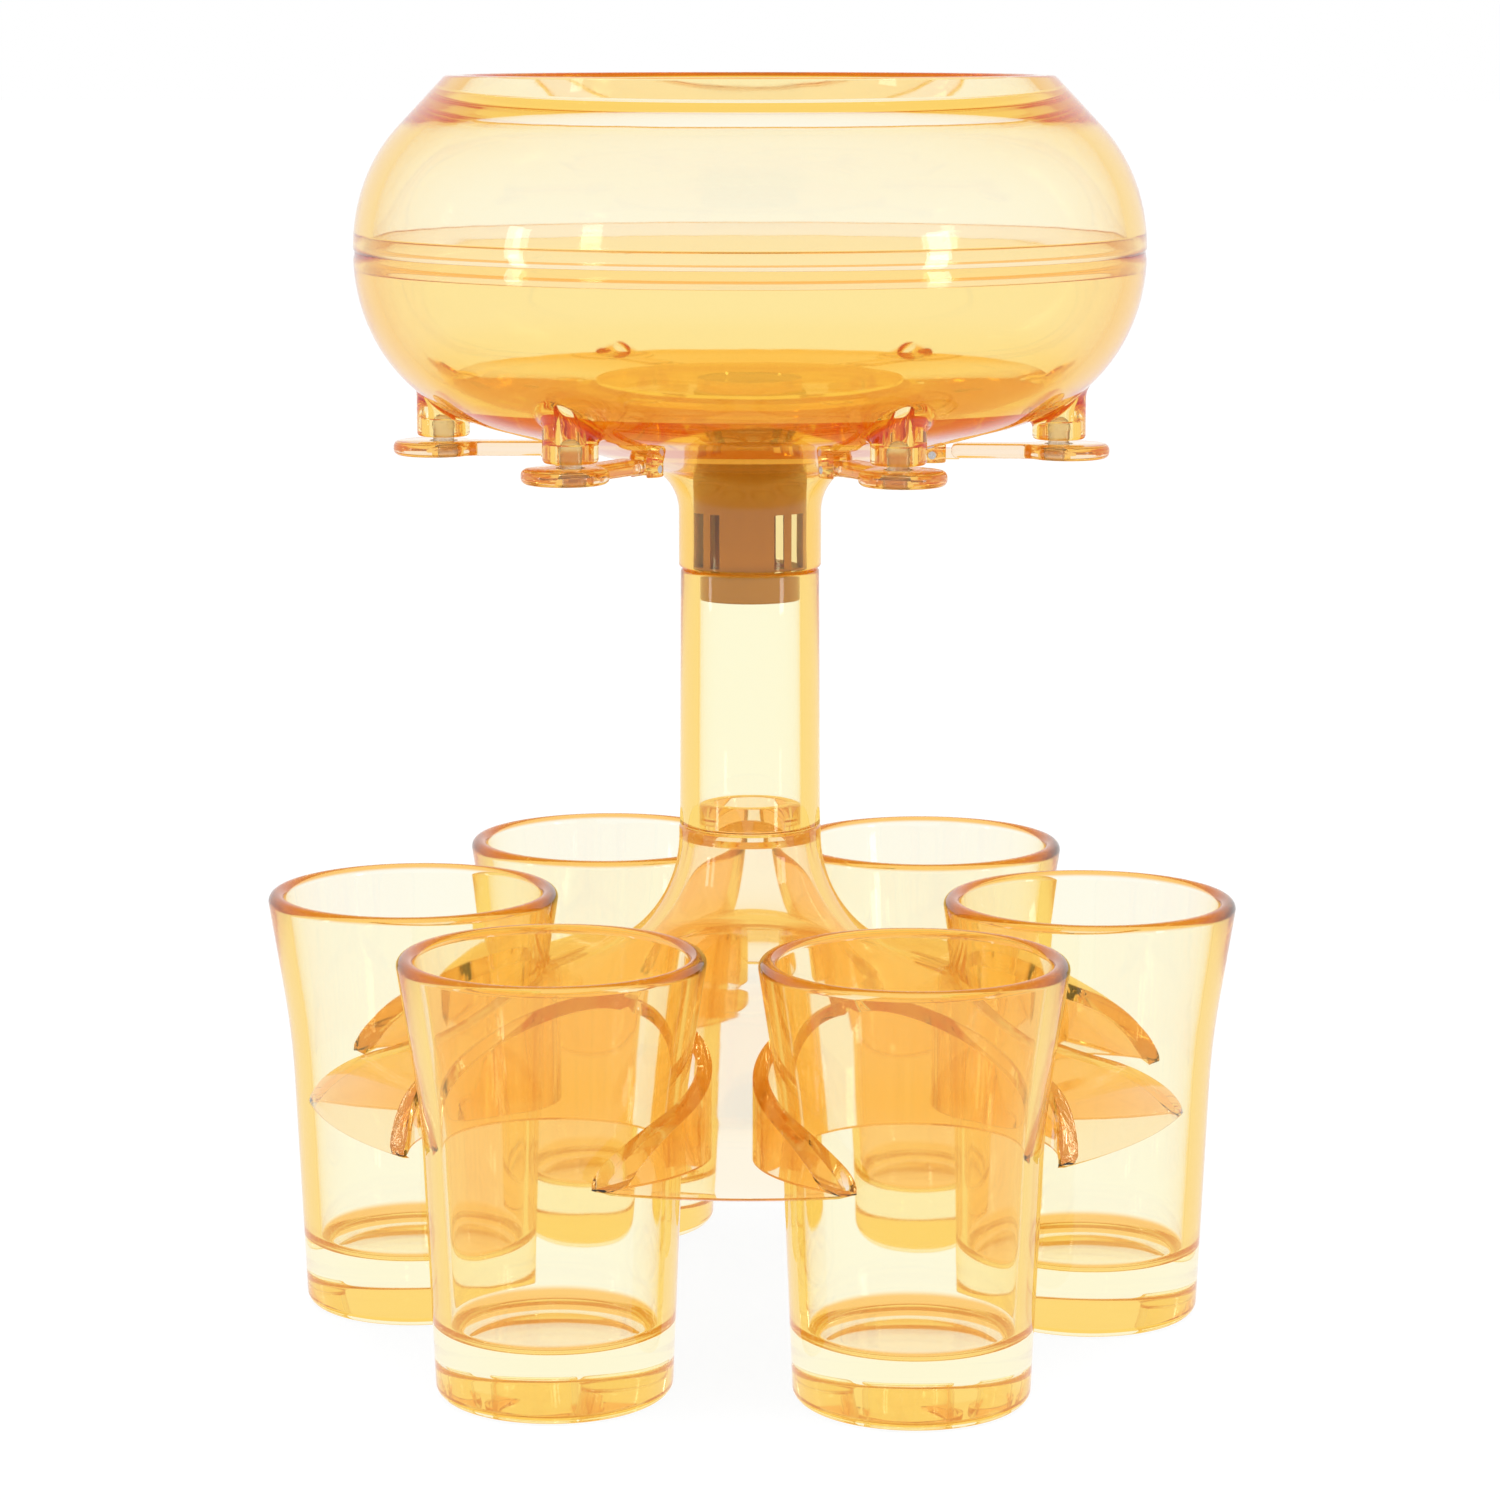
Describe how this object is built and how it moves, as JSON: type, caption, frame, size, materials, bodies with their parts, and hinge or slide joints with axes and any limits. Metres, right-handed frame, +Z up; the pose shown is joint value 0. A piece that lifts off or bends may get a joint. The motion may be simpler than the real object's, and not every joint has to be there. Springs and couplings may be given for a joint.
{
  "type": "party shot dispenser",
  "caption": "Clear amber drink dispenser: an open bowl on a stem, with plugged spouts on hinged levers over shot cups in a notched umbrella-shaped holder.",
  "frame": {"origin": "on the stem's centre line, at the height of the surface that the cups stand on", "axes": "+Z up along the stem; -Y to the front, between two cups; +X to the right, through the middle of a cup"},
  "size_m": [0.1502, 0.138, 0.1912],
  "materials": {
    "clear_amber_bowl": "clear polished amber acrylic",
    "clear_amber_holder": "clear polished amber acrylic",
    "clear_amber_cup": "clear polished amber acrylic",
    "clear_amber_lever": "clear deep amber acrylic",
    "brown_plastic": "satin brown moulded plastic",
    "silicone_plug": "soft translucent white silicone",
    "steel_pin": "drawn steel wire"
  },
  "bodies": {
    "stand": {"cup_holder": "clear_amber_holder", "stem_tube": "clear_amber_holder"},
    "coupling": {"neck_connector": "brown_plastic"},
    "bowl": {"bowl_lower_shell": "clear_amber_bowl", "bowl_upper_shell": "clear_amber_bowl", "bowl_joint_ring": "clear_amber_bowl", "hinge_pins": "steel_pin"},
    "lever_1": {"lever_1": "clear_amber_lever", "plug_1": "silicone_plug"},
    "lever_2": {"lever_2": "clear_amber_lever", "plug_2": "silicone_plug"},
    "lever_3": {"lever_3": "clear_amber_lever", "plug_3": "silicone_plug"},
    "lever_4": {"lever_4": "clear_amber_lever", "plug_4": "silicone_plug"},
    "lever_5": {"lever_5": "clear_amber_lever", "plug_5": "silicone_plug"},
    "lever_6": {"lever_6": "clear_amber_lever", "plug_6": "silicone_plug"},
    "cup_1": {"cup_1": "clear_amber_cup"},
    "cup_2": {"cup_2": "clear_amber_cup"},
    "cup_3": {"cup_3": "clear_amber_cup"},
    "cup_4": {"cup_4": "clear_amber_cup"},
    "cup_5": {"cup_5": "clear_amber_cup"},
    "cup_6": {"cup_6": "clear_amber_cup"}
  },
  "joints": [
    {"name": "bowl_lift", "type": "slide", "parent": "stand", "child": "coupling", "axis": [0, 0, 1], "range_m": [0, 0.03]},
    {"name": "bowl_turn", "type": "hinge", "parent": "coupling", "child": "bowl", "pos_m": [0, 0, 0.1165], "axis": [0, 0, 1], "continuous": true},
    {"name": "lever_1_swing", "type": "hinge", "parent": "bowl", "child": "lever_1", "pos_m": [-0.0139, -0.02408, 0.1342], "axis": [0.866, -0.5, 0], "range_deg": [0, 28]},
    {"name": "lever_2_swing", "type": "hinge", "parent": "bowl", "child": "lever_2", "pos_m": [0.0139, -0.02408, 0.1342], "axis": [0.866, 0.5, 0], "range_deg": [0, 28]},
    {"name": "lever_3_swing", "type": "hinge", "parent": "bowl", "child": "lever_3", "pos_m": [0.0278, 0, 0.1342], "axis": [0, 1, 0], "range_deg": [0, 28]},
    {"name": "lever_4_swing", "type": "hinge", "parent": "bowl", "child": "lever_4", "pos_m": [0.0139, 0.02408, 0.1342], "axis": [-0.866, 0.5, 0], "range_deg": [0, 28]},
    {"name": "lever_5_swing", "type": "hinge", "parent": "bowl", "child": "lever_5", "pos_m": [-0.0139, 0.02408, 0.1342], "axis": [-0.866, -0.5, 0], "range_deg": [0, 28]},
    {"name": "lever_6_swing", "type": "hinge", "parent": "bowl", "child": "lever_6", "pos_m": [-0.0278, 0, 0.1342], "axis": [0, -1, 0], "range_deg": [0, 28]},
    {"name": "cup_1_lift", "type": "slide", "parent": "stand", "child": "cup_1", "axis": [0, 0, 1], "range_m": [0, 0.054]},
    {"name": "cup_2_lift", "type": "slide", "parent": "stand", "child": "cup_2", "axis": [0, 0, 1], "range_m": [0, 0.054]},
    {"name": "cup_3_lift", "type": "slide", "parent": "stand", "child": "cup_3", "axis": [0, 0, 1], "range_m": [0, 0.054]},
    {"name": "cup_4_lift", "type": "slide", "parent": "stand", "child": "cup_4", "axis": [0, 0, 1], "range_m": [0, 0.054]},
    {"name": "cup_5_lift", "type": "slide", "parent": "stand", "child": "cup_5", "axis": [0, 0, 1], "range_m": [0, 0.054]},
    {"name": "cup_6_lift", "type": "slide", "parent": "stand", "child": "cup_6", "axis": [0, 0, 1], "range_m": [0, 0.054]}
  ]
}
